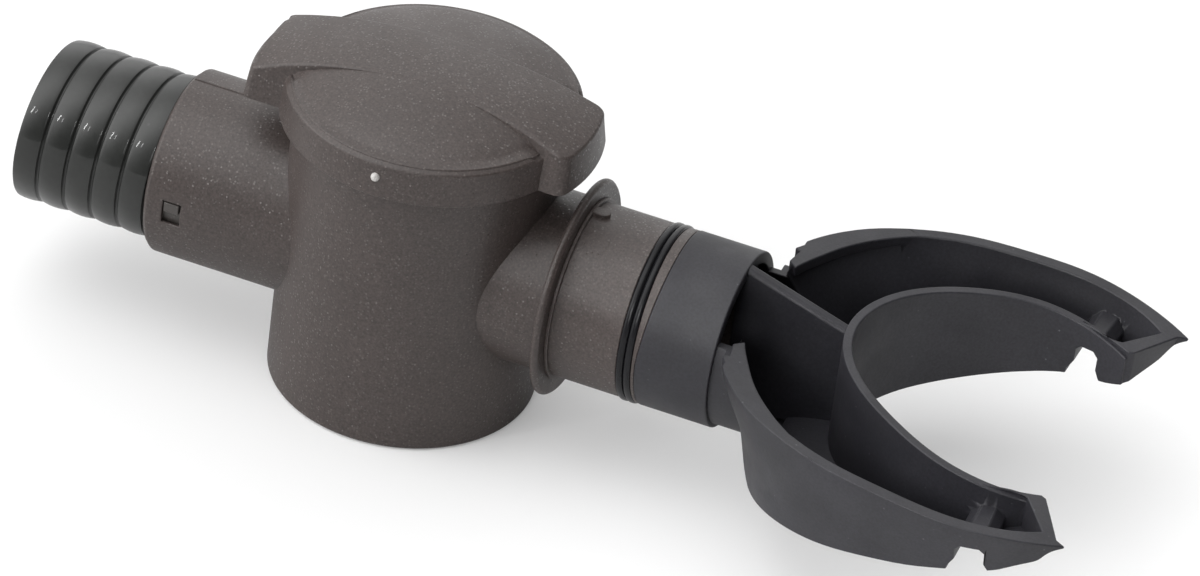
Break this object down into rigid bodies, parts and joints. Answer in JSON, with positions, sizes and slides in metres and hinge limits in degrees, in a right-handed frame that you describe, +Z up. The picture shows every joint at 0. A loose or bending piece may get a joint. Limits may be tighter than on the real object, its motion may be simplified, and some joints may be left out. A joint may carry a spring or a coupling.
{
  "type": "rainwater diverter",
  "caption": "Rainwater diverter for a downpipe: soft two-horned collector, spigot with seal, filter cup with winged lid, and a hose socket with a corrugated hose stub.",
  "frame": {"origin": "centre of the filter cup's flat base", "axes": "+X from the cup towards the collector's horns, +Z up along the cup and the lid's turning axis, the hose leaves along -X"},
  "size_m": [0.3201, 0.1284, 0.107],
  "materials": {
    "brown_plastic": "satin, slightly grained",
    "basket_plastic": "satin",
    "soft_rubber": "matt",
    "seal_rubber": "semi-gloss",
    "hose_plastic": "glossy"
  },
  "bodies": {
    "housing": {"housing": "brown_plastic", "spigot_tube": "brown_plastic", "spigot_o_ring": "seal_rubber", "double_lip_seal": "seal_rubber", "rain_collector": "soft_rubber", "hose_clip": "brown_plastic", "hose_gasket": "seal_rubber", "hose": "hose_plastic"},
    "strainer": {"strainer_basket": "basket_plastic"},
    "lid": {"lid": "brown_plastic", "lid_o_ring": "seal_rubber"}
  },
  "joints": [
    {"name": "strainer_lift", "type": "slide", "parent": "housing", "child": "strainer", "axis": [0, 0, 1], "range_m": [0, 0.095]},
    {"name": "lid_turn", "type": "hinge", "parent": "strainer", "child": "lid", "pos_m": [0, 0, 0.0812], "axis": [0, 0, 1], "range_deg": [0, 90]}
  ]
}
